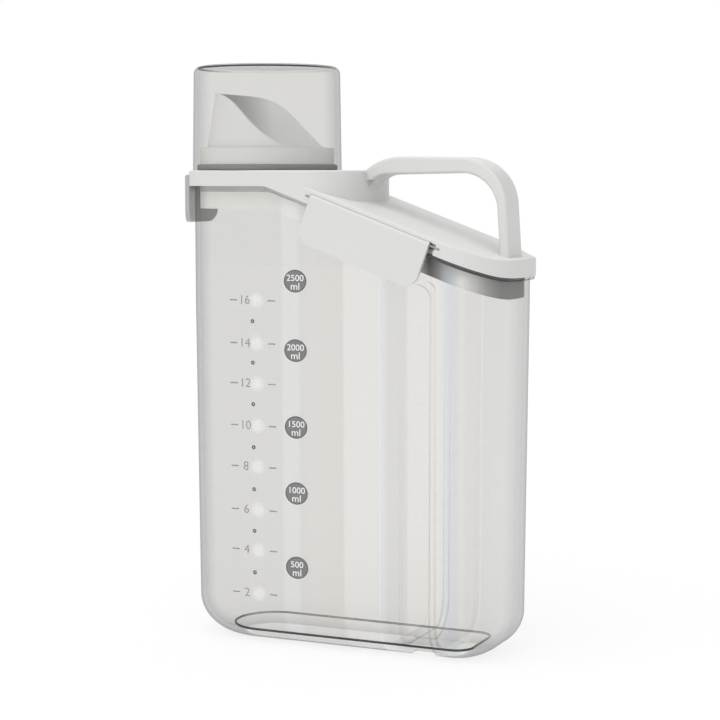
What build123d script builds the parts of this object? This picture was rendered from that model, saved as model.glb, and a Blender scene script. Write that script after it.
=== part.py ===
from build123d import *
from math import cos, radians, sin, tan
import os

# A clear pet food keeper with a sloping lid, a carry handle, three clip latches,
# a pouring spout and a measuring cup that stands upside down over the spout.
# Millimetres. X runs from the spout end to the handle end, Z is up, and the origin
# is on the floor under the middle of the overall outline.

# Lid outline, seen from above: a half circle at the spout end, rounded corners at the other
lid_length = 200.2
lid_width = 83.6
lid_corner_radius = 34.0

# Lid heights
lid_top = 264.0
flat_length = 63.5
slope_angle = 20.0
bend_radius = 12.0
run_out_drop = 47.0
run_out_spread = 0.17
run_out_radius = 34.0
rim_height = 8.6
rim_wall = 3.2
lid_plate = 2.4
shoulder_depth = 6.6
nose_reach = 110.65
nose_corner_radius = 27.0
rim_edge_round = 1.2

# Container body
body_overhang = 3.2
body_wall = 2.4
body_draft = 1.6
draft_top = 190.0
bowl_height = 22.4
bowl_reach = 20.0
bowl_end_reach = 6.0
floor_thickness = 3.4
base_hollow = 1.2
base_foot = 4.0
base_corner_radius = 4.5
floor_reach = 12.1
floor_corner_radius = 10.0
neck_inset = 3.6
neck_gap = 0.4
lip_thickness = 1.4
lip_gap = 0.3
lip_setback = 0.6
catch_reach = 0.8
catch_side_gap = 1.0

# Finger grip pressed into the front and back walls and across the base
grip_right = 40.2
grip_width = 29.5
grip_depth = 3.0
grip_base_depth = 1.0
grip_ramp_left = 11.5
grip_ramp_right = 2.0
grip_top = 204.0
grip_corner_radius = 10.0

# Plug ring under the lid and its gasket
plug_gap = 0.6
plug_wall = 2.8
plug_depth = 21.2
gasket_height = 3.0
gasket_proud = 0.3
gasket_groove = 1.4
groove_lid_gap = 0.2

# Measuring cup, mouth down on the lid, its mouth a little wider than the lid
cup_proud = 0.2
cup_taper = 0.9
cup_height = 58.0
cup_wall = 2.1
cup_floor = 2.4
cup_corner_radius = 4.2
cup_margin = 2.5

# Pouring spout and its seal ring, inside the cup
collar_inset = 4.2
collar_height = 12.5
collar_wall = 2.0
throat_step = 5.8
spigot_wall = 2.0
spigot_depth = 6.0
spigot_fit = 0.1
scoop_height = 43.4
scoop_tip_inset = 9.2
scoop_top_shift = 1.6
scoop_root_inset = 2.4
scoop_wall = 1.8
# The rim's line, as shares of the way across from its tip and of the way down to the collar
scoop_rim = [(0.223, 0.074), (0.346, 0.214), (0.483, 0.485), (0.592, 0.70), (0.732, 0.922)]
seal_height = 3.4
seal_groove = 1.4
seal_gap = 0.3
seal_round = 1.0

# Carry handle
handle_width = 22.0
handle_root_thickness = 10.4
handle_bend_thickness = 7.7
handle_foot_thickness = 5.4
handle_rise = 7.8
handle_fall = 1.2
handle_root = 4.0
handle_sink = 0.6
handle_end_gap = 6.75
handle_lean = 3.8
handle_ramp_start = 1.0
handle_ramp_angle = 40.0
handle_ramp_radius = 34.5
handle_bend_radius = 26.5
handle_inner_radius = 20.5
handle_root_radius = 12.0
handle_edge_round = 1.6
handle_rib_width = 14.0
handle_tip_drop = 5.2

# Side latches, the same front and back
flap_start = 31.1
flap_width = 73.0
flap_drop = 29.0
flap_thickness = 2.3
flap_proud = 1.2
flap_corner_radius = 8.0
flap_edge_round = 0.7
ledge = 2.2
head_radius = 1.6
head_gap = 0.2
move_gap = 0.3
pocket_side_gap = 0.4
pocket_end_gap = 3.6
hook_height = 1.6
hook_reach = 0.8

# End latch
end_half_width = 17.0
end_top_drop = 2.6
end_drop = 29.3
end_thickness = 2.4
end_corner_radius = 7.0
end_top_round = 0.9
ear_start = 6.3
ear_width = 3.2
ear_radius = 1.5
ear_axis_out = 1.0
ear_axis_drop = 3.6
ear_swing_gap = 0.7
ear_root = 5.0
end_hook_half = 10.0

# Hinge pins
pin_radius = 0.7
pin_fit = 0.02
hinge_fit = 0.08
pin_grip = 2.6

# Places worked out from the sizes above
latch_stand = move_gap + end_thickness
lid_left = -(lid_length - latch_stand) / 2
lid_right = lid_left + lid_length
nose_right = lid_left + nose_reach
half_width = lid_width / 2
round_x = lid_left + half_width
cup_mouth_radius = half_width + cup_proud
cup_top_radius = cup_mouth_radius - cup_taper
collar_radius = cup_mouth_radius - collar_inset
throat_radius = collar_radius - throat_step
scoop_root_radius = collar_radius - scoop_root_inset
scoop_tip_radius = collar_radius - scoop_tip_inset
spout_x = lid_left + cup_margin + cup_mouth_radius
bend_x = lid_left + flat_length
slope = tan(radians(slope_angle))
along = cos(radians(slope_angle))
far = lid_length
deep = 2 * rim_height
touch = 0.01
on_slope = Location((bend_x, 0, lid_top), (0, slope_angle, 0))


def save(shape, name):
    export_step(shape, "parts/" + name + ".step")
    print(name, round(shape.volume), "mm3", len(shape.solids()), "solid")


def plan(inset, rounding, end_inset, full_right):
    """Face with a half circle at the spout end and two rounded corners at the other."""
    left = lid_left + inset + end_inset
    right = full_right - inset - end_inset
    half = half_width - inset
    middle = left + half
    bow = rounding * (1 - cos(radians(45)))
    edge = [
        Line((middle, -half), (right - rounding, -half)),
        ThreePointArc((right - rounding, -half), (right - bow, -half + bow), (right, -half + rounding)),
        Line((right, -half + rounding), (right, half - rounding)),
        ThreePointArc((right, half - rounding), (right - bow, half - bow), (right - rounding, half)),
        Line((right - rounding, half), (middle, half)),
        ThreePointArc((middle, half), (left, 0), (middle, -half)),
    ]
    return make_face(Wire(edge))


def outline(inset, corner=None, end_inset=0.0):
    """The lid's outline, drawn in by inset all round and by end_inset more at both ends."""
    rounding = lid_corner_radius - inset if corner is None else corner
    return plan(inset, rounding, end_inset, lid_right)


def column(face, low, high):
    """Upright prism on a plan face, from one height to another."""
    return extrude(face.moved(Pos(0, 0, low)), amount=high - low)


def below(drop):
    """Everything under the lid's top surface lowered by drop."""
    height = lid_top - drop
    fall = run_out_drop + run_out_spread * drop
    start = (bend_x, height)
    end = (bend_x + fall / slope, height - fall)
    points = [(-far, -far), (-far, height), start, end, (far, end[1]), (far, -far)]
    face = make_face(Polyline(*points, close=True))
    for point, radius in ((start, bend_radius), (end, run_out_radius)):
        face = fillet(face.vertices().sort_by_distance(Vector(*point, 0))[0], radius)
    return extrude(Plane.XZ * face, amount=lid_width, both=True)


def band(inset, upper, lower, corner=None):
    """Slab of the outline that follows the lid's slope between two drops."""
    return column(outline(inset, corner), 0, lid_top) & below(upper) - below(lower)


def nose_form(inset, low, high):
    """Upright prism under the raised nose that carries the spout."""
    return column(plan(inset, nose_corner_radius - inset, 0.0, nose_right), low, high)


def vessel(inset, reach, low, bowl, corner_low, extra=0.0):
    """Tapered body form with a rounded bowl at its foot."""
    wall_inset = inset + body_draft + extra
    wall_corner = lid_corner_radius - wall_inset
    sections = []
    steps = 6
    for step in range(steps + 1):
        turn = radians(90 * step / steps)
        share = sin(turn)
        corner = corner_low + (wall_corner - corner_low) * share
        height = low + bowl * (1 - cos(turn))
        section = outline(wall_inset + reach * (1 - share), corner, bowl_end_reach * (1 - share))
        sections.append(section.moved(Pos(0, 0, height)))
    foot = loft(sections)
    top_inset = inset + extra
    taper = loft([sections[-1], outline(top_inset).moved(Pos(0, 0, draft_top))], ruled=True)
    return foot + taper + column(outline(top_inset), draft_top, lid_top + deep)


def grip_wedge(grow):
    """Space of the finger grip on both sides, larger by grow inside the wall."""
    right = lid_right - grip_right + grow
    left = lid_right - grip_right - grip_width - grow
    face_y = half_width - body_overhang - grow / 2
    floor_y = half_width - body_overhang - grip_depth - grow
    ramp_end = left + grip_ramp_left
    ramp_start = right - grip_ramp_right
    points = [
        (left, half_width), (left, face_y), (ramp_end, floor_y), (ramp_end, 0),
        (ramp_start, 0), (ramp_start, floor_y), (right, face_y), (right, half_width),
    ]
    prism = column(make_face(Polyline(*points, close=True)), -deep, grip_top + grow)
    window = Pos((left + right) / 2, 0) * Rectangle(right - left, 2 * (grip_top + grow))
    window = fillet(window.vertices().group_by(Axis.Y)[-1], grip_corner_radius)
    prism = prism & extrude(Plane.XZ * window, amount=lid_width, both=True)
    return prism + mirror(prism, about=Plane.XZ)


def make_body():
    shape = vessel(body_overhang, bowl_reach, 0, bowl_height, base_corner_radius)
    pressed = vessel(
        body_overhang, bowl_reach, grip_base_depth, bowl_height, base_corner_radius, grip_depth
    )
    shape -= grip_wedge(0) - pressed
    # The neck is thinner than the wall, and a lip runs round its foot
    lip_top = rim_height + lip_gap
    neck = column(outline(neck_inset), 0, lid_top) & below(shoulder_depth + neck_gap)
    shape = (shape & below(lip_top)) + (neck & (below(0) - below(lip_top + lip_thickness)))
    lip = band(lip_setback, lip_top, lip_top + lip_thickness)
    for side in (-1, 1):
        lip -= latch_notch(side)
    lip -= end_notch()
    catch = band(body_overhang - catch_reach, lip_top, lip_top + lip_thickness)
    shape += lip + catch
    # The inside follows the outside
    inner = body_overhang + body_wall
    floor_z = base_hollow + floor_thickness
    room = vessel(inner, floor_reach, floor_z, bowl_height - floor_z / 2, floor_corner_radius)
    room_pressed = vessel(
        inner, floor_reach, floor_z + grip_base_depth, bowl_height - floor_z / 2,
        floor_corner_radius - grip_depth, grip_depth,
    )
    room -= grip_wedge(body_wall) - room_pressed
    shape -= room
    base_inset = body_overhang + body_draft + bowl_reach + base_foot
    shape -= column(outline(base_inset, base_corner_radius / 2, bowl_end_reach), -deep, base_hollow)
    return shape


def level_box(out, inner, upper, lower, start, end, side):
    """Block in the lid's sloping frame: out and inner are distances from the rim face."""
    length = end - start
    centre_y = side * (half_width + (out + inner) / 2)
    return Pos(start + length / 2, centre_y, -(upper + lower) / 2) * Box(length, out - inner, lower - upper)


def latch_box(out, inner, upper, lower, start, end, side):
    """The same block set on the lid's slope."""
    return level_box(out, inner, upper, lower, start, end, side).moved(on_slope)


def latch_rod(radius, start, end, side):
    """Round bar on a side latch's hinge axis."""
    bar = Rot(0, 90, 0) * Cylinder(radius, end - start)
    return (Pos((start + end) / 2, side * (half_width + head_out), -head_drop) * bar).moved(on_slope)


def latch_notch(side):
    """Gap in the body's lip that the latch passes when the lid goes straight up."""
    start = flap_start - catch_side_gap - (flap_drop - rim_height) * slope
    end = flap_start + flap_width + catch_side_gap
    out = flap_proud + flap_thickness
    return latch_box(out, -(body_overhang - catch_reach), 0, deep, start, end, side)


def end_notch():
    width = 2 * (end_half_width + catch_side_gap)
    depth = body_overhang - catch_reach
    ring = Circle(half_width + latch_stand) - Circle(half_width - depth)
    ring &= Pos(-half_width, 0) * Rectangle(lid_width, width)
    return column(Pos(round_x, 0) * ring, lid_top - 2 * deep, lid_top)


def make_lid():
    cover = column(outline(0), 0, lid_top) & below(0)
    upper = [face for face in cover.faces() if face.normal_at().Z > sin(radians(45))]
    border = []
    for edge in [edge for face in upper for edge in face.edges()]:
        middle = edge @ 0.5
        crosses = abs(middle.Y) < rim_wall and lid_left + touch < middle.X < lid_right - touch
        if not crosses:
            border.append(edge)
    nose = nose_form(0, 0, lid_top)
    shape = fillet(border, rim_edge_round) + fillet(nose.edges().group_by(Axis.Z)[-1], rim_edge_round)
    solid_top = shape
    shape = shape - below(rim_height)
    plug_inner = body_overhang + body_wall + plug_gap + plug_wall
    shape -= column(outline(plug_inner), 0, lid_top) & below(lid_plate)
    shape -= nose_form(plug_inner, 0, lid_top - lid_plate)
    shape -= column(outline(rim_wall), 0, lid_top) & below(shoulder_depth)
    shape -= Pos(spout_x, 0, lid_top) * Cylinder(throat_radius + spigot_wall + spigot_fit, 2 * deep)
    # Pockets for the side latches and holes for their pins
    for side in (-1, 1):
        start = flap_start - pocket_side_gap
        end = flap_start + flap_width
        pocket_floor = head_out - head_radius - move_gap
        low = head_drop + head_radius + move_gap
        shape -= latch_rod(head_radius + head_gap, start, end + pocket_end_gap, side)
        shape -= latch_box(deep, pocket_floor, head_drop, low, start, end + pocket_end_gap, side)
        plate_floor = flap_proud - flap_thickness - move_gap
        shape -= latch_box(deep, plate_floor, head_drop, deep, start, end + pocket_end_gap, side)
        shape -= latch_rod(pin_radius + pin_fit, start - pin_grip, end + pocket_end_gap + pin_grip, side)
    # Ears for the end latch
    for side in (-1, 1):
        ear = Box(ear_root + ear_axis_out, ear_width, 2 * ear_radius)
        ear = Pos((ear_root - ear_axis_out) / 2, 0, 0) * ear
        ear += Pos(-ear_axis_out, 0, 0) * Rot(90, 0, 0) * Cylinder(ear_radius, ear_width)
        shape += Pos(lid_left, side * (ear_start + ear_width / 2), lid_top - ear_axis_drop) * ear
    reach = 2 * (end_barrel_half + move_gap)
    room = ear_radius - ear_axis_out + move_gap
    ceiling = lid_top - ear_axis_drop + ear_radius + move_gap
    shape -= Pos(lid_left - deep / 2 + room, 0, ceiling - deep / 2) * Box(deep, reach, deep)
    shape -= end_rod(pin_radius + pin_fit, ear_start + ear_width + move_gap)
    return shape, solid_top


def end_rod(radius, half_length):
    """Round bar on the end latch's hinge axis."""
    bar = Rot(90, 0, 0) * Cylinder(radius, 2 * half_length)
    return Pos(lid_left - ear_axis_out, 0, lid_top - ear_axis_drop) * bar


def make_plug():
    outer = body_overhang + body_wall + plug_gap
    ring = band(outer, shoulder_depth, plug_depth) - column(outline(outer + plug_wall), 0, lid_top)
    return ring - gasket_band(outer + gasket_groove)


def gasket_band(inner):
    outer = body_overhang + body_wall + gasket_proud
    upper = rim_height + groove_lid_gap
    return band(outer, upper, upper + gasket_height) - column(outline(inner), 0, lid_top)


def make_flap(side):
    end = flap_start + flap_width
    plate = level_box(flap_proud, flap_proud - flap_thickness, head_drop, flap_drop, flap_start, end, side)
    plate = fillet(plate.edges().filter_by(Axis.Y).group_by(Axis.Z)[0], flap_corner_radius)
    plate = plate.moved(on_slope)
    hook_top = (rim_height + lip_gap + lip_thickness) * along + move_gap
    inner = flap_proud - flap_thickness
    inset = flap_corner_radius
    hook = latch_box(
        inner, inner - hook_reach, hook_top, hook_top + hook_height,
        flap_start + inset, end - inset, side,
    )
    shape = plate + hook + latch_rod(head_radius, flap_start, end, side)
    return shape - latch_rod(pin_radius + hinge_fit, flap_start - 1, end + 1, side)


def make_flap_pin(side):
    start = flap_start - pocket_side_gap - pin_grip
    return latch_rod(pin_radius, start, flap_start + flap_width + pocket_end_gap + pin_grip, side)


def make_end_latch():
    inner = half_width + move_gap
    ring = Circle(inner + end_thickness) - Circle(inner)
    ring &= Pos(-lid_width, 0) * Rectangle(2 * lid_width, 2 * lid_width)
    low = lid_top - end_drop
    high = lid_top - end_top_drop
    shell = column(Pos(round_x, 0) * ring, low, high)
    shell = fillet(shell.edges().filter_by(GeomType.CIRCLE).group_by(Axis.Z)[-1], end_top_round)
    window = Pos(0, (low + high) / 2) * Rectangle(2 * end_half_width, high - low)
    window = fillet(window.vertices().group_by(Axis.Y)[0], end_corner_radius)
    # Slots for the lid's ears
    ear_clear = lid_top - ear_axis_drop - ear_radius - ear_swing_gap
    for side in (-1, 1):
        middle = side * (ear_start + ear_width / 2)
        slot = Rectangle(ear_width + 2 * move_gap, high - ear_clear)
        window -= Pos(middle, (ear_clear + high) / 2) * slot
    shell &= extrude(Plane.YZ * window, amount=lid_length, both=True)
    hook_top = lid_top - (rim_height + lip_gap + lip_thickness) - move_gap
    rib = Circle(inner + move_gap) - Circle(inner - move_gap + flap_proud - flap_thickness - hook_reach)
    rib &= Pos(-half_width, 0) * Rectangle(lid_width, 2 * end_hook_half)
    shell += column(Pos(round_x, 0) * rib, hook_top - hook_height, hook_top)
    shell += end_rod(ear_radius, end_barrel_half)
    return shell - end_rod(pin_radius + hinge_fit, end_barrel_half + 1)


def scoop_form(shrink):
    """Leaning cone of the spout, drawn in by shrink."""
    root = Pos(spout_x, 0, lid_top + seal_height) * Circle(scoop_root_radius - shrink)
    tip_x = spout_x + scoop_top_shift
    tip = Pos(tip_x, 0, lid_top + scoop_height + 1) * Circle(scoop_tip_radius + scoop_top_shift - shrink)
    return loft([root, tip], ruled=True)


def scoop_cut():
    """Space above the spout's rim: high at the tip, low towards the handle."""
    top = lid_top + scoop_height
    left = spout_x - scoop_tip_radius
    across = scoop_tip_radius + collar_radius
    drop = scoop_height - collar_height
    rim = [(left + across * far_on, top - drop * down) for far_on, down in scoop_rim]
    start = (left, top)
    end = (left + across, top - drop)
    curve = Spline(start, *rim, end, tangents=((1, -0.1), (1, -0.05)))
    over = top + deep
    frame = Polyline(end, (end[0], over), (start[0] - deep, over), (start[0] - deep, top), start)
    space = extrude(Plane.XZ * make_face(curve + frame), amount=lid_width, both=True)
    beyond = Pos(end[0] + deep / 2, 0, end[1] + deep) * Box(deep, lid_width, 2 * deep)
    return space + beyond


def make_spout():
    base = Pos(spout_x, 0)
    collar = base * (Circle(collar_radius) - Circle(collar_radius - collar_wall))
    groove = base * (Circle(collar_radius + 1) - Circle(collar_radius - seal_groove))
    ring = base * (Circle(collar_radius) - Circle(throat_radius))
    shape = column(collar, lid_top, lid_top + collar_height)
    shape += column(ring, lid_top, lid_top + seal_height + collar_wall)
    shape -= column(groove, lid_top, lid_top + seal_height)
    spigot = base * (Circle(throat_radius + spigot_wall) - Circle(throat_radius))
    shape += column(spigot, lid_top - spigot_depth, lid_top)
    scoop = scoop_form(0) - scoop_form(scoop_wall)
    shape += scoop - scoop_cut() - column(base * Circle(throat_radius), 0, lid_top + seal_height)
    return shape


def make_seal():
    outer = cup_mouth_radius - cup_wall - seal_gap
    ring = Circle(outer) - Circle(collar_radius - seal_groove)
    shape = column(Pos(spout_x, 0) * ring, lid_top, lid_top + seal_height)
    outside = shape.edges().filter_by(GeomType.CIRCLE).group_by(SortBy.RADIUS)[-1]
    return fillet(outside, seal_round)


def make_cup():
    top = lid_top + cup_height
    taper = cup_taper / cup_height
    outer = Pos(0, 0, cup_height / 2) * Cone(cup_mouth_radius, cup_top_radius, cup_height)
    outer = fillet(outer.edges().group_by(Axis.Z)[-1], cup_corner_radius)
    depth = cup_height - cup_floor
    inner_top = cup_top_radius + taper * cup_floor - cup_wall
    inner = Pos(0, 0, depth / 2) * Cone(cup_mouth_radius - cup_wall, inner_top, depth)
    inner = fillet(inner.edges().group_by(Axis.Z)[-1], cup_corner_radius - cup_wall)
    return Pos(spout_x, 0, lid_top) * (outer - inner)


def make_handle(solid_top):
    root_x = nose_right - handle_sink
    climb = tan(radians(handle_ramp_angle))
    start_x = nose_right - handle_ramp_start
    top = lid_top + handle_rise
    peak_x = start_x + handle_rise / climb
    foot = lid_top - run_out_drop - lid_plate
    foot_x = lid_right - handle_end_gap
    bend_z = top - handle_fall
    lean = tan(radians(handle_lean))
    outer_x = foot_x - lean * (bend_z - foot)
    under_bend = bend_z - handle_bend_thickness
    inner_x = foot_x - handle_foot_thickness - lean * (under_bend - foot)
    points = [
        (start_x - handle_root, lid_top - climb * handle_root), (peak_x, top), (outer_x, bend_z),
        (foot_x, foot), (foot_x - handle_foot_thickness, foot), (inner_x, under_bend),
        (root_x, top - handle_root_thickness), (root_x, lid_top - 2 * handle_root_radius),
        (start_x - handle_root, lid_top - 2 * handle_root_radius),
    ]
    face = make_face(Polyline(*points, close=True))
    rounds = {1: handle_ramp_radius, 2: handle_bend_radius, 5: handle_inner_radius, 6: handle_root_radius}
    for index in rounds:
        x, z = points[index]
        face = fillet(face.vertices().sort_by_distance(Vector(x, z, 0))[0], rounds[index])
    strap = extrude(Plane.XZ * face, amount=handle_width / 2, both=True)
    sides = [edge for edge in strap.edges() if abs(edge.center().Y) > handle_width / 2 - touch]
    strap = fillet(sides, handle_edge_round)
    # Under the strap's root only a narrower rib runs down the nose's wall
    cheek = (handle_width - handle_rib_width) / 2
    height = 2 * handle_root_radius
    cheek_z = lid_top - handle_tip_drop - height / 2
    for side in (-1, 1):
        cheek_y = side * (handle_rib_width / 2 + cheek)
        strap -= Pos(nose_right, cheek_y, cheek_z) * Box(2 * handle_root_radius + 1, 2 * cheek, height)
    return strap - solid_top


head_out = flap_proud - head_radius
head_drop = ledge + head_gap + head_radius
end_barrel_half = ear_start - move_gap

os.makedirs("parts", exist_ok=True)
lid, lid_solid = make_lid()
save(make_body(), "body_shell")
save(lid, "lid_cover")
save(make_plug(), "lid_plug_ring")
save(gasket_band(body_overhang + body_wall + plug_gap + gasket_groove), "lid_gasket")
save(make_handle(lid_solid), "carry_handle")
save(make_spout(), "pouring_spout")
save(make_seal(), "spout_seal_ring")
save(make_cup(), "measuring_cup")
save(make_flap(-1), "front_latch")
save(make_flap(1), "back_latch")
save(make_end_latch(), "end_latch")
save(make_flap_pin(-1), "front_latch_pin")
save(make_flap_pin(1), "back_latch_pin")
save(end_rod(pin_radius, ear_start + ear_width), "end_latch_pin")
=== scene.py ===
import bpy
import math
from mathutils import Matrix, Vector


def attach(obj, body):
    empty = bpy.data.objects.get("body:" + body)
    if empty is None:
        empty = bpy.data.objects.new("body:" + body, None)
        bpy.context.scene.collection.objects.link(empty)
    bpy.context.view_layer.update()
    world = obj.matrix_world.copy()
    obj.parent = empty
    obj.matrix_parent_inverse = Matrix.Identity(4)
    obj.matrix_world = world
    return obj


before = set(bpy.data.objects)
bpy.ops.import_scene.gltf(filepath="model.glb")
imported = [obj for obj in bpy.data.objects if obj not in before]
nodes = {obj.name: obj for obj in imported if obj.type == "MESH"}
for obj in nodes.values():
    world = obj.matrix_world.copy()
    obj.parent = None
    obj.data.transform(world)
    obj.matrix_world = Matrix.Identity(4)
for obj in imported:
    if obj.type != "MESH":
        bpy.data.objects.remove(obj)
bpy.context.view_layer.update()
mm = 0.001
print("frame loaded:", len(nodes), "nodes")


def clearSelection():
    if bpy.context.object and bpy.context.object.mode != "OBJECT":
        bpy.ops.object.mode_set(mode="OBJECT")
    bpy.ops.object.select_all(action="DESELECT")


def choose(*objects):
    clearSelection()
    for item in objects:
        item.select_set(True)
    bpy.context.view_layer.objects.active = objects[0]


def applyTransform():
    bpy.ops.object.transform_apply(location=True, rotation=True, scale=True)


# Camera where the photo was taken from: place in mm, turns in degrees
view = {
    "place": (432.33, -961.68, 260.95), "down": 5.555, "turn": 24.055,
    "lens": 94.667, "sensor": 36, "clipStart": 0.02,
    "clearBounces": 32, "allBounces": 16,  # one line of sight crosses many clear walls
}

clearSelection()
bpy.ops.object.camera_add(
    location=[v * mm for v in view["place"]],
    rotation=(math.radians(90 - view["down"]), 0, math.radians(view["turn"])),
)
camera = bpy.context.object
camera.data.lens = view["lens"]
camera.data.sensor_width = view["sensor"]
camera.data.clip_start = view["clipStart"]
bpy.context.scene.camera = camera
bpy.context.scene.view_settings.view_transform = "Standard"
bpy.context.scene.cycles.transparent_max_bounces = view["clearBounces"]
bpy.context.scene.cycles.max_bounces = view["allBounces"]


# Helpers for node trees. An input takes a number, a colour or another node's output.
def newMaterial(name):
    material = bpy.data.materials.new(name)
    material.use_nodes = True
    tree = material.node_tree
    tree.nodes.clear()
    tree.nodes.new("ShaderNodeOutputMaterial")
    return material, tree


def fill(socket, value):
    if isinstance(value, bpy.types.NodeSocket):
        socket.id_data.links.new(value, socket)
    else:
        socket.default_value = value


def addNode(tree, kind, **settings):
    node = tree.nodes.new(kind)
    for name, value in settings.items():
        setattr(node, name, value)
    return node


def setInputs(node, **values):
    for name, value in values.items():
        fill(node.inputs[name.replace("_", " ")], value)
    return node


def objectCoords(tree):
    return addNode(tree, "ShaderNodeTexCoord").outputs["Object"]


def splitAxes(tree, vector):
    return setInputs(addNode(tree, "ShaderNodeSeparateXYZ"), Vector=vector).outputs


def placeInMm(tree, coords):
    big = addNode(tree, "ShaderNodeVectorMath", operation="SCALE")
    setInputs(big, Vector=coords, Scale=1 / mm)
    return splitAxes(tree, big.outputs[0])


def makeNoise(tree, coords, scale, detail=2.0):
    noise = addNode(tree, "ShaderNodeTexNoise")
    return setInputs(noise, Vector=coords, Scale=scale, Detail=detail).outputs["Fac"]


def mapRange(tree, value, before=(0.0, 1.0), after=(0.0, 1.0)):
    node = setInputs(addNode(tree, "ShaderNodeMapRange"), Value=value)
    setInputs(node, From_Min=before[0], From_Max=before[1], To_Min=after[0], To_Max=after[1])
    return node.outputs["Result"]


def mixColours(tree, share, first, second, blend="MIX"):
    node = addNode(tree, "ShaderNodeMix", data_type="RGBA", blend_type=blend)
    for index, value in ((0, share), (6, first), (7, second)):
        fill(node.inputs[index], value)
    return node.outputs[2]


def mixShaders(tree, share, first, second):
    node = addNode(tree, "ShaderNodeMixShader")
    for index, value in enumerate((share, first.outputs[0], second.outputs[0])):
        fill(node.inputs[index], value)
    return node


def endWith(tree, shader):
    fill(tree.nodes["Material Output"].inputs["Surface"], shader.outputs[0])


def wear(target, material):
    target.data.materials.clear()
    target.data.materials.append(material)


# Arithmetic with shader nodes
class Sums:
    def __init__(self, tree):
        self.tree = tree

    def do(self, operation, *values):
        node = addNode(self.tree, "ShaderNodeMath", operation=operation)
        for index, value in enumerate(values):
            fill(node.inputs[index], value)
        return node.outputs[0]

    def above(self, value, limit):
        return self.do("MAXIMUM", self.do("SUBTRACT", value, limit), 0.0)

    def length(self, a, b):
        return self.do("SQRT", self.do("ADD", self.do("MULTIPLY", a, a), self.do("MULTIPLY", b, b)))


# Moulded plastic and rubber that light doesn't pass. Clouds vary its colour and roughness, the grain
# is a fine bump. Faces that look up get painted light, from a normal's Z of topFrom on. Thin walls
# let some light glow through.
whitePlastic = {
    "colour": (0.632, 0.632, 0.620, 1), "shade": (0.606, 0.606, 0.594, 1), "rough": (0.37, 0.49),
    "clouds": 22, "grain": 2600, "bump": 0.04, "bumpDepth": 0.0002,
    "topFrom": 0.6, "topTo": 0.92, "paintedTopLight": 1.22,
    "glowThrough": 0.0, "paintedGlow": 0.0, "paintedGlowColour": (1, 1, 0.985, 1),
}
# The spout: white plastic painted lighter than the lid's, as painted light
spoutPaintedLightPlastic = dict(
    whitePlastic, colour=(0.91, 0.91, 0.90, 1), shade=(0.88, 0.88, 0.87, 1),
    paintedTopLight=1.0, glowThrough=0.08,
)
# The end latch: white plastic painted in shade as a darker grey, with a weak painted glow
paintedShadeWhitePlastic = dict(
    whitePlastic, colour=(0.31, 0.31, 0.3, 1), shade=(0.28, 0.28, 0.27, 1),
    paintedTopLight=1.2, paintedGlow=0.12,
)
darkSeal = dict(
    whitePlastic, colour=(0.3, 0.3, 0.295, 1), shade=(0.24, 0.24, 0.235, 1),
    rough=(0.45, 0.57), paintedTopLight=1.0,
)


def makePlastic(name, look, paintedShading=None):
    material, tree = newMaterial(name)
    coords = objectCoords(tree)
    clouds = makeNoise(tree, coords, look["clouds"], detail=3.0)
    surface = addNode(tree, "ShaderNodeNewGeometry")
    up = splitAxes(tree, surface.outputs["Normal"])["Z"]
    # Painted light on faces that look up, times any painted shade
    light = mapRange(tree, up, (look["topFrom"], look["topTo"]), (1.0, look["paintedTopLight"]))
    if paintedShading:
        light = Sums(tree).do("MULTIPLY", light, paintedShading(tree, coords))
    colour = addNode(tree, "ShaderNodeVectorMath", operation="SCALE")
    setInputs(colour, Vector=mixColours(tree, clouds, look["shade"], look["colour"]), Scale=light)
    bump = setInputs(
        addNode(tree, "ShaderNodeBump"), Height=makeNoise(tree, coords, look["grain"]),
        Strength=look["bump"], Distance=look["bumpDepth"],
    )
    # A weak emission, where a look sets it, is a painted glow
    solid = setInputs(
        addNode(tree, "ShaderNodeBsdfPrincipled"), Base_Color=colour.outputs[0],
        Roughness=mapRange(tree, clouds, after=look["rough"]), Normal=bump.outputs["Normal"],
        Emission_Color=look["paintedGlowColour"], Emission_Strength=look["paintedGlow"],
    )
    thin = setInputs(addNode(tree, "ShaderNodeBsdfTranslucent"), Color=colour.outputs[0])
    endWith(tree, mixShaders(tree, look["glowThrough"], solid, thin))
    return material


# Painted shade in the scoop's inside, darker towards its tip and a little lighter at toX: a leaning
# cone in mm, and the share of the colour that is left at fromX and at toX
spoutCone = {
    "x": -54.25, "z": 267.4, "lean": 0.039, "radius": 34.4, "taper": 0.127,
    "fromX": -85.0, "toX": -65.0, "dark": 0.36, "light": 1.06,
}


def spoutInside(tree, coords):
    w = spoutCone
    s = Sums(tree)
    x, y, z = placeInMm(tree, coords)
    up = s.do("SUBTRACT", z, w["z"])
    middle = s.do("ADD", s.do("MULTIPLY", up, w["lean"]), w["x"])
    across = s.length(s.do("SUBTRACT", x, middle), y)
    wall = s.do("SUBTRACT", w["radius"], s.do("MULTIPLY", up, w["taper"]))
    inside = s.do("LESS_THAN", across, wall)
    tone = mapRange(tree, x, (w["fromX"], w["toX"]), (w["dark"], w["light"]))
    return s.do("ADD", 1.0, s.do("MULTIPLY", inside, s.do("SUBTRACT", tone, 1.0)))


# Deep shade in the slot at the front flap's lower end, in mm, and the share of the colour left there
flapSlot = {"x": 61.3, "halfX": 1.3, "maxY": -38.6, "z": 222.8, "halfZ": 3.8, "share": 0.3}


def slotShade(tree, coords):
    w = flapSlot
    s = Sums(tree)
    x, y, z = placeInMm(tree, coords)
    alongX = s.do("COMPARE", x, w["x"], w["halfX"])
    alongZ = s.do("COMPARE", z, w["z"], w["halfZ"])
    inside = s.do("MULTIPLY", alongX, alongZ)
    inside = s.do("MULTIPLY", inside, s.do("LESS_THAN", y, w["maxY"]))
    return s.do("SUBTRACT", 1.0, s.do("MULTIPLY", inside, 1.0 - w["share"]))


# Colours along X, given as stops in mm
rampStart, rampEnd = -110.0, 110.0


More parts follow.
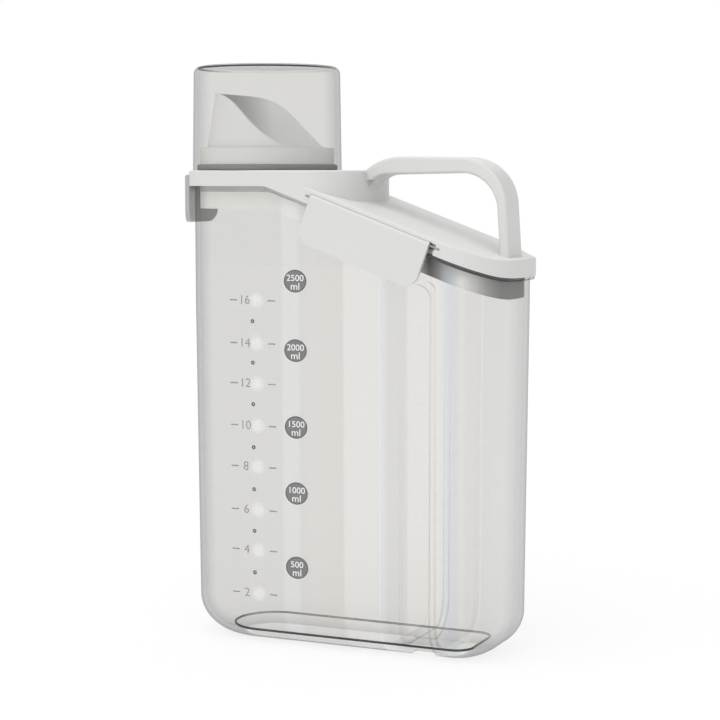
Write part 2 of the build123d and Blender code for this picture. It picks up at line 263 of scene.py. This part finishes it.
def rampAlongX(tree, coords, stops):
    x = splitAxes(tree, coords)["X"]
    ramp = addNode(tree, "ShaderNodeValToRGB")
    setInputs(ramp, Fac=mapRange(tree, x, (rampStart * mm, rampEnd * mm)))
    elements = ramp.color_ramp.elements
    elements[0].color = stops[0][1]
    elements[1].color = stops[-1][1]
    for place, colour in stops:
        elements.new((place - rampStart) / (rampEnd - rampStart)).color = colour
    return ramp.outputs


# Clear moulded plastic: each face lets most light straight through and veils a little. Outer faces
# darken where they are seen edge on. The body's front wall has soft upright bands of painted
# reflection (mm along X, colour let through), and its foot lets less through (mm from, mm to, share
# at the bottom).
clearBody = {
    "inner": (0.985, 0.984, 0.980, 1), "outer": (0.905, 0.902, 0.893, 1),
    "edge": (0.62, 0.627, 0.637, 1), "edgeBlend": 0.5, "edgeFrom": 0.35,
    "veil": (0.03, 0.035), "veilColour": (0.72, 0.72, 0.715, 1),
    "rough": (0.08, 0.18), "clouds": 35.0, "frontWall": -30.0, "foot": (5.0, 12.0, 0.988),
    "paintedReflectionBands": [
        (-27.6, (0.94, 0.94, 0.94)), (-26.4, (0.97, 0.972, 0.98)), (-17.4, (0.968, 0.97, 0.978)),
        (-16.0, (0.945, 0.942, 0.940)), (-8.0, (0.955, 0.947, 0.942)), (9.3, (0.952, 0.942, 0.938)),
        (10.4, (0.998, 0.992, 0.988)), (29.3, (0.996, 0.992, 0.988)), (30.8, (0.974, 0.984, 0.995)),
        (34.3, (0.962, 0.968, 0.982)), (35.0, (0.945, 0.946, 0.95)), (45.0, (0.948, 0.942, 0.94)),
        (46.4, (0.992, 0.99, 0.986)), (60.6, (0.992, 0.99, 0.986)), (62.0, (1.0, 1.0, 0.998)),
        (65.0, (1.0, 0.998, 0.998)), (67.5, (0.975, 0.985, 1.0)), (71.0, (0.935, 0.948, 0.975)),
        (74.5, (0.935, 0.945, 0.965)), (77.0, (0.975, 0.978, 0.972)), (79.5, (0.952, 0.950, 0.948)),
        (84.0, (0.95, 0.948, 0.945)), (88.0, (0.945, 0.947, 0.95)), (92.0, (0.94, 0.947, 0.955)),
        (99.0, (0.9, 0.905, 0.912)),
    ],
}
clearCup = dict(
    clearBody, paintedReflectionBands=None, inner=(0.96, 0.959, 0.954, 1), outer=(0.882, 0.879, 0.872, 1),
)

# Plan of the clear walls in mm: where the round end, the corners and the wall's middle lie
bodyWall = {
    "roundX": -56.95, "cornerX": 67.45, "cornerY": 7.8, "bowl": 22.4, "reach": 20.0,
    "endReach": 6.0, "top": 37.4, "draft": 1.6, "draftTop": 190.0,
    "gripMiddle": 46.6, "gripHalf": 15.6, "gripTop": 205.0,
}
cupWall = {"x": -54.25, "cornerR": 36.9, "cornerZ": 317.8, "middle": 3.3}


# 1 on the body's outer faces, 0 on its inner ones, a half over the grip
def bodyOuter(tree, coords):
    w = bodyWall
    s = Sums(tree)
    x, y, z = placeInMm(tree, coords)
    rise = s.do("SUBTRACT", 1.0, s.do("MINIMUM", s.do("DIVIDE", z, w["bowl"]), 1.0))
    low = s.do("SQRT", s.do("SUBTRACT", 1.0, s.do("MULTIPLY", rise, rise)))
    low = s.do("SUBTRACT", 1.0, low)
    ends = s.do("MULTIPLY", low, w["endReach"])
    side = s.do("ABSOLUTE", y)
    pastLeft = s.above(s.do("ADD", ends, w["roundX"]), x)
    pastRight = s.above(s.do("ADD", x, ends), w["cornerX"])
    left = s.length(pastLeft, side)
    right = s.do("ADD", s.length(pastRight, s.above(side, w["cornerY"])), w["cornerY"])
    isRight = s.do("GREATER_THAN", x, 0.0)
    across = s.do("ADD", left, s.do("MULTIPLY", isRight, s.do("SUBTRACT", right, left)))
    down = s.do("DIVIDE", s.above(w["draftTop"], z), w["draftTop"] - w["bowl"])
    drawn = s.do("MULTIPLY", s.do("MINIMUM", down, 1.0), w["draft"])
    drawn = s.do("ADD", drawn, s.do("MULTIPLY", low, w["reach"]))
    outer = s.do("GREATER_THAN", across, s.do("SUBTRACT", w["top"], drawn))
    onGrip = s.do("COMPARE", x, w["gripMiddle"], w["gripHalf"])
    onGrip = s.do("MULTIPLY", onGrip, s.do("LESS_THAN", z, w["gripTop"]))
    return s.do("ADD", outer, s.do("MULTIPLY", onGrip, s.do("SUBTRACT", 0.5, outer)))


# 1 on the cup's outer faces, 0 on its inner ones
def cupOuter(tree, coords):
    w = cupWall
    s = Sums(tree)
    x, y, z = placeInMm(tree, coords)
    across = s.above(s.length(s.do("SUBTRACT", x, w["x"]), y), w["cornerR"])
    return s.do("GREATER_THAN", s.length(across, s.above(z, w["cornerZ"])), w["middle"])


# Light that the front wall's upright bands of painted reflection let through
def bandShare(tree, look, coords):
    paintedReflectionBands = rampAlongX(tree, coords, [(place, (*colour, 1)) for place, colour in look["paintedReflectionBands"]])
    y = splitAxes(tree, coords)["Y"]
    inFront = mapRange(tree, y, (look["frontWall"] * mm, 0.0), (1.0, 0.0))
    return mixColours(tree, inFront, (1, 1, 1, 1), paintedReflectionBands["Color"])


def makeClearPlastic(name, look, outerFaces):
    material, tree = newMaterial(name)
    coords = objectCoords(tree)
    facing = setInputs(addNode(tree, "ShaderNodeLayerWeight"), Blend=look["edgeBlend"])
    edge = mapRange(tree, facing.outputs["Facing"], (look["edgeFrom"], 1.0))
    outside = mixColours(tree, edge, look["outer"], look["edge"])
    tint = mixColours(tree, outerFaces(tree, coords), look["inner"], outside)
    # Painted reflection: the upright bands on the body's front wall
    if look["paintedReflectionBands"]:
        tint = mixColours(tree, 1.0, tint, bandShare(tree, look, coords), "MULTIPLY")
        low, high, share = look["foot"]
        foot = mapRange(tree, placeInMm(tree, coords)[2], (low, high), (share, 1.0))
        tint = mixColours(tree, 1.0, tint, foot, "MULTIPLY")
    through = setInputs(addNode(tree, "ShaderNodeBsdfTransparent"), Color=tint)
    clouds = makeNoise(tree, coords, look["clouds"])
    veil = setInputs(
        addNode(tree, "ShaderNodeBsdfPrincipled"), Base_Color=look["veilColour"],
        Roughness=mapRange(tree, clouds, after=look["rough"]),
    )
    endWith(tree, mixShaders(tree, mapRange(tree, edge, after=look["veil"]), through, veil))
    return material


# Milky plastic and silicone. A weak glow is painted light that scatters inside. The stops are mm
# along
# X, grey (its blue is a little less), and the share of the light held back; dark stops from about X
# 58 on are painted shade.
milkyPlastic = {
    "glow": 0.15, "blueShare": 0.99, "through": (0.985, 0.985, 0.98, 1),
    "rough": (0.38, 0.52), "clouds": 30.0,
}
milkyPaintedShadeStops = {
    "lid_plug_ring": [
        (-100.0, 0.98, 0.56), (20.0, 0.98, 0.56), (48.0, 0.9, 0.6), (59.0, 0.06, 0.9),
        (64.0, 0.2, 0.85), (70.0, 0.62, 0.72), (76.0, 0.93, 0.55), (82.0, 0.7, 0.68),
        (88.0, 0.4, 0.78), (93.0, 0.24, 0.85),
    ],
    "lid_gasket": [
        (-100.0, 0.6, 0.5), (-40.0, 0.6, 0.5), (-34.0, 0.5, 0.25), (50.0, 0.4, 0.25),
        (58.0, 0.12, 0.8), (95.0, 0.12, 0.8),
    ],
}


def makeMilky(name, look, stops):
    material, tree = newMaterial(name)
    coords = objectCoords(tree)
    stops = [(place, (grey, grey, look["blueShare"] * grey, cover)) for place, grey, cover in stops]
    ramp = rampAlongX(tree, coords, stops)
    clouds = makeNoise(tree, coords, look["clouds"], detail=3.0)
    solid = setInputs(
        addNode(tree, "ShaderNodeBsdfPrincipled"), Base_Color=ramp["Color"],
        Roughness=mapRange(tree, clouds, after=look["rough"]),
        Emission_Color=ramp["Color"], Emission_Strength=look["glow"],
    )
    through = setInputs(addNode(tree, "ShaderNodeBsdfTransparent"), Color=look["through"])
    endWith(tree, mixShaders(tree, ramp["Alpha"], through, solid))
    return material


pinSteel = {"colour": (0.27, 0.27, 0.275, 1), "rough": (0.25, 0.4), "grain": 400.0}


def makeSteel(name, look):
    material, tree = newMaterial(name)
    grain = makeNoise(tree, objectCoords(tree), look["grain"], detail=3.0)
    rough = mapRange(tree, grain, after=look["rough"])
    steel = addNode(tree, "ShaderNodeBsdfPrincipled")
    endWith(tree, setInputs(steel, Base_Color=look["colour"], Metallic=1.0, Roughness=rough))
    return material


white = makePlastic("whitePlastic", whitePlastic)
for name in nodes:
    wear(nodes[name], white)
wear(nodes["body_shell"], makeClearPlastic("clearBody", clearBody, bodyOuter))
wear(nodes["measuring_cup"], makeClearPlastic("clearCup", clearCup, cupOuter))
wear(nodes["pouring_spout"], makePlastic("spoutPaintedLightPlastic", spoutPaintedLightPlastic, spoutInside))
for name, stops in milkyPaintedShadeStops.items():
    wear(nodes[name], makeMilky("milky_" + name, milkyPlastic, stops))
wear(nodes["end_latch"], makePlastic("paintedShadeWhitePlastic", paintedShadeWhitePlastic))
wear(nodes["lid_cover"], makePlastic("lidPlastic", whitePlastic, slotShade))
wear(nodes["spout_seal_ring"], makePlastic("darkSeal", darkSeal))
steel = makeSteel("pinSteel", pinSteel)
for name in ("front_latch_pin", "back_latch_pin", "end_latch_pin"):
    wear(nodes[name], steel)
print("materials done")


# Inks of the prints: colour, and how much of the clear wall it covers. The speckle is between two
# tones of it.
inkLook = {"speckle": 900.0, "tones": (0.94, 1.04), "roughness": 0.5}
inks = {
    "scaleInk": ((0.17, 0.17, 0.17), 0.76), "dotInk": ((0.05, 0.05, 0.05), 0.92),
    "spotInk": ((0.93, 0.93, 0.925), 0.16), "badgeInk": ((0.155, 0.155, 0.155), 0.95),
    "badgeRimInk": ((0.07, 0.07, 0.07), 0.95), "paleInk": ((0.8, 0.8, 0.8), 1.0),
    # The pale half rounds behind the grip are no print: their ink is painted light
    "paintedLightGhost": ((0.7, 0.7, 0.7), 0.12),
}


def makeInk(name):
    colour, cover = inks[name]
    material, tree = newMaterial(name)
    speckle = makeNoise(tree, objectCoords(tree), inkLook["speckle"])
    tones = [[v * tone for v in colour] + [1] for tone in inkLook["tones"]]
    ink = setInputs(
        addNode(tree, "ShaderNodeBsdfPrincipled"), Base_Color=mixColours(tree, speckle, *tones),
        Roughness=inkLook["roughness"],
    )
    endWith(tree, mixShaders(tree, cover, addNode(tree, "ShaderNodeBsdfTransparent"), ink))
    return material


# Prints start in front of the front wall and are dropped onto it, a hair before its face (mm).
# A full disc has an inner ring at a share of its radius, a dash is rounded by a share of its height.
prints = {
    "start": -60.0, "lift": 0.08, "textLift": 0.16, "textWeight": 0.03,
    "discCorners": 48, "innerRing": 0.4, "dashRounding": 0.45, "dashSteps": 4,
}


def inFrontAt(x, z):
    place = (x * mm, prints["start"] * mm, z * mm)
    return {"location": place, "rotation": (math.radians(90), 0, 0)}


def layOnWall(piece, name, material, lift):
    choose(piece)
    wrap = piece.modifiers.new("wall", "SHRINKWRAP")
    wrap.wrap_method = "PROJECT"
    wrap.use_project_y = True
    wrap.use_positive_direction = True
    wrap.use_negative_direction = False
    wrap.target = nodes["body_shell"]
    wrap.offset = lift * mm
    bpy.ops.object.modifier_apply(modifier=wrap.name)
    applyTransform()
    piece.name = name
    wear(piece, material)
    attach(piece, "container")


# Stretches a flat piece along X about the line at x
def widen(piece, x, factor):
    piece.location.x = x * mm * (1 - factor)
    piece.scale.x = factor
    choose(piece)
    applyTransform()
    return piece


def addDisc(x, z, radius, hole=0.0):
    clearSelection()
    bpy.ops.mesh.primitive_circle_add(
        vertices=prints["discCorners"], radius=radius * mm, fill_type="NGON", **inFrontAt(x, z),
    )
    disc = bpy.context.object
    bpy.ops.object.mode_set(mode="EDIT")
    bpy.ops.mesh.select_all(action="SELECT")
    bpy.ops.mesh.inset(thickness=(radius - hole if hole else radius * prints["innerRing"]) * mm)
    if hole:
        bpy.ops.mesh.delete(type="FACE")
    bpy.ops.object.mode_set(mode="OBJECT")
    applyTransform()
    return disc


def addDash(x, z, length, height):
    clearSelection()
    bpy.ops.mesh.primitive_plane_add(size=1, **inFrontAt(x, z))
    dash = bpy.context.object
    dash.scale = (length * mm, height * mm, 1)
    applyTransform()
    bpy.ops.object.mode_set(mode="EDIT")
    bpy.ops.mesh.select_all(action="SELECT")
    bpy.ops.mesh.bevel(
        offset=prints["dashRounding"] * height * mm, segments=prints["dashSteps"], affect="VERTICES",
    )
    bpy.ops.object.mode_set(mode="OBJECT")
    return dash


def addWords(words, x, z, size, weight=0.0):
    clearSelection()
    bpy.ops.object.text_add(**inFrontAt(x, z))
    letters = bpy.context.object
    letters.data.body = words
    letters.data.size = size * mm
    letters.data.offset = weight * mm
    letters.data.align_x = "CENTER"
    letters.data.align_y = "CENTER"
    choose(letters)
    bpy.ops.object.convert(target="MESH")
    letters = bpy.context.object
    applyTransform()
    return letters


def merge(pieces):
    choose(*pieces)
    bpy.ops.object.join()
    return bpy.context.object


# Scale of the cups: numbers with a dash on each side, soft spots beside them and dots between them
scale = {
    "numberX": -49.2, "size": 7.0, "leftX": -56.1, "leftLength": 4.7,
    "rightX": -32.7, "rightLength": 4.6, "dashHeight": 0.75,
    "numbers": {
        16: 193.0, 14: 169.3, 12: 147.0, 10: 123.6, 8: 100.6, 6: 76.4, 4: 53.8, 2: 29.3,
    },
    "spotX": -41.9, "spotRadius": 3.9,
    "spots": (("wide", 1.1, 1.0), ("middle", 0.78, 1.25), ("core", 0.5, 1.5)),  # size, lift
    "dotX": -44.4, "dotRadius": 1.15, "dotHole": 0.4,
    "dots": (181.5, 158.6, 135.5, 111.5, 88.0, 64.6, 41.1),
}
scaleInk = makeInk("scaleInk")
for number, z in scale["numbers"].items():
    marks = [
        addWords(str(number), scale["numberX"], z, scale["size"]),
        addDash(scale["leftX"], z, scale["leftLength"], scale["dashHeight"]),
        addDash(scale["rightX"], z, scale["rightLength"], scale["dashHeight"]),
    ]
    layOnWall(merge(marks), f"mark_{number}", scaleInk, prints["textLift"])
spotInk = makeInk("spotInk")
for name, share, lift in scale["spots"]:
    radius = share * scale["spotRadius"]
    spots = [addDisc(scale["spotX"], z, radius) for z in scale["numbers"].values()]
    layOnWall(merge(spots), f"mark_spots_{name}", spotInk, lift * prints["lift"])
dots = [addDisc(scale["dotX"], z, scale["dotRadius"], scale["dotHole"]) for z in scale["dots"]]
layOnWall(merge(dots), "mark_dots", makeInk("dotInk"), prints["lift"])
print("scale prints done")

# Dark badges with the volume, a little wider than high
badge = {
    "x": -18.25, "radius": 6.2, "rim": 0.55, "wide": 1.1,
    "numberUp": 1.55, "numberSize": 4.8, "unitDown": 3.0, "unitSize": 5.4,
    "marks": {2500: 204.1, 2000: 166.2, 1500: 124.0, 1000: 87.4, 500: 45.9},
}
badgeInk = makeInk("badgeInk")
rimInk = makeInk("badgeRimInk")
paleInk = makeInk("paleInk")
x, wide, weight = badge["x"], badge["wide"], prints["textWeight"]
inner = badge["radius"] - badge["rim"]
for volume, z in badge["marks"].items():
    disc = widen(addDisc(x, z, inner), x, wide)
    layOnWall(disc, f"badge_{volume}", badgeInk, prints["lift"])
    ring = widen(addDisc(x, z, badge["radius"], inner), x, wide)
    layOnWall(ring, f"badge_rim_{volume}", rimInk, prints["lift"])
    words = [
        addWords(str(volume), x, z + badge["numberUp"], badge["numberSize"], weight),
        addWords("ml", x, z - badge["unitDown"], badge["unitSize"], weight),
    ]
    words = widen(merge(words), x, wide)
    layOnWall(words, f"badge_number_{volume}", paleInk, prints["textLift"])
print("badges done")

# Light half rounds behind the grip, painted light
gripRounds = {"x": 53.75, "radius": 4.0, "heights": (178.8, 143.1, 111.0, 77.6)}
rounds = [addDisc(gripRounds["x"], z, gripRounds["radius"]) for z in gripRounds["heights"]]
layOnWall(merge(rounds), "grip_rounds", makeInk("paintedLightGhost"), prints["lift"])

# Fine dark lines of painted refraction: where the floor meets the bowl, and round the cup's top,
# which is a full circle. Sizes are in mm. Front and back are how much the painted line covers there.
lines = {
    "base_line": {
        "body": "container", "left": -73.45, "right": 76.1, "half": 22.5, "height": 4.9,
        "roundLeft": 22.45, "roundRight": 10.0, "thick": 0.66, "front": 1.0, "back": 0.42,
    },
    "cup_top_line": {
        "body": "measuring_cup", "left": -92.65, "right": -15.85, "half": 38.4, "height": 320.8,
        "roundLeft": 38.35, "roundRight": 38.35, "thick": 0.5, "front": 1.0, "back": 0.05,
    },
}
lineShape = {"cornerSteps": 24, "near": 0.2, "roundSteps": 3}  # near: mm from an end to its corners
# The painted refraction fades from front to back between two shares of the half width, and is a
# little uneven
paintedRefractionLine = {
    "colour": (0.02, 0.02, 0.02, 1), "roughness": 0.3, "fade": (-0.8, 0.6),
    "clouds": 60.0, "cloudRange": (0.35, 0.7), "coverRange": (0.75, 1.1),
}


def makeLine(name, size):
    clearSelection()
    middle = (size["left"] + size["right"]) / 2
    bpy.ops.mesh.primitive_plane_add(size=1, location=(middle * mm, 0, size["height"] * mm))
    loop = bpy.context.object
    loop.scale = ((size["right"] - size["left"]) * mm, 2 * size["half"] * mm, 1)
    applyTransform()
    for end, rounding in (("right", "roundRight"), ("left", "roundLeft")):
        bpy.ops.object.mode_set(mode="EDIT")
        bpy.ops.mesh.select_all(action="DESELECT")
        bpy.ops.object.mode_set(mode="OBJECT")
        for vertex in loop.data.vertices:
            vertex.select = abs(vertex.co.x - size[end] * mm) < lineShape["near"] * mm
        bpy.ops.object.mode_set(mode="EDIT")
        bpy.ops.mesh.bevel(
            offset=size[rounding] * mm, segments=lineShape["cornerSteps"], affect="VERTICES",
        )
    bpy.ops.mesh.select_all(action="SELECT")
    bpy.ops.mesh.delete(type="ONLY_FACE")
    bpy.ops.object.mode_set(mode="OBJECT")
    choose(loop)
    bpy.ops.object.convert(target="CURVE")
    loop = bpy.context.object
    loop.data.bevel_depth = size["thick"] * mm
    loop.data.bevel_resolution = lineShape["roundSteps"]
    bpy.ops.object.convert(target="MESH")
    loop = bpy.context.object
    bpy.ops.object.shade_smooth()
    loop.name = name
    return loop


def makeLineInk(name, size):
    material, tree = newMaterial(name + "_painted_refraction")
    coords = objectCoords(tree)
    fade = [share * size["half"] * mm for share in paintedRefractionLine["fade"]]
    cover = mapRange(tree, splitAxes(tree, coords)["Y"], fade, (size["front"], size["back"]))
    clouds = makeNoise(tree, coords, paintedRefractionLine["clouds"])
    uneven = mapRange(tree, clouds, paintedRefractionLine["cloudRange"], paintedRefractionLine["coverRange"])
    through = addNode(tree, "ShaderNodeBsdfTransparent")
    ink = addNode(tree, "ShaderNodeBsdfPrincipled")
    setInputs(ink, Base_Color=paintedRefractionLine["colour"], Roughness=paintedRefractionLine["roughness"])
    endWith(tree, mixShaders(tree, Sums(tree).do("MULTIPLY", cover, uneven), through, ink))
    return material


for name, size in lines.items():
    line = makeLine(name, size)
    wear(line, makeLineInk(name, size))
    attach(line, size["body"])
print("fine lines done")

# Pale floor, one wide soft sun and an even world. The camera sees floor and world nearly white.
studio = {
    "floorSize": 8.0, "paper": (0.97, 0.97, 0.97, 1), "glow": 0.7,
    "sun": 1.46, "sunSpread": 80.0, "sunFrom": (-0.08, -0.62, 0.78), "sunAway": 2,
    "ambient": 0.72, "backdrop": 1.0, "white": (1, 1, 1, 1),
}

clearSelection()
bpy.ops.mesh.primitive_plane_add(size=studio["floorSize"], location=(0, 0, 0))
floor = bpy.context.object
floor.name = "floor"
floorMaterial, tree = newMaterial("floorPaper")
paper = setInputs(addNode(tree, "ShaderNodeBsdfDiffuse"), Color=studio["paper"])
glow = setInputs(addNode(tree, "ShaderNodeEmission"), Color=studio["white"], Strength=1.0)
seen = mixShaders(tree, studio["glow"], paper, glow)
isSeen = addNode(tree, "ShaderNodeLightPath").outputs["Is Camera Ray"]
endWith(tree, mixShaders(tree, isSeen, paper, seen))
wear(floor, floorMaterial)

clearSelection()
sunPlace = [v * studio["sunAway"] for v in studio["sunFrom"]]
bpy.ops.object.light_add(type="SUN", location=sunPlace)
sun = bpy.context.object
sun.name = "softSun"
sun.data.energy = studio["sun"]
sun.data.angle = math.radians(studio["sunSpread"])
sun.rotation_euler = Vector(studio["sunFrom"]).to_track_quat("Z", "Y").to_euler()

world = bpy.data.worlds.new("studio")
bpy.context.scene.world = world
world.use_nodes = True
tree = world.node_tree
tree.nodes.clear()
ambient, backdrop = [
    setInputs(addNode(tree, "ShaderNodeBackground"), Color=studio["white"], Strength=studio[name])
    for name in ("ambient", "backdrop")
]
isSeen = addNode(tree, "ShaderNodeLightPath").outputs["Is Camera Ray"]
sky = mixShaders(tree, isSeen, ambient, backdrop)
setInputs(addNode(tree, "ShaderNodeOutputWorld"), Surface=sky.outputs[0])
print("stage done")
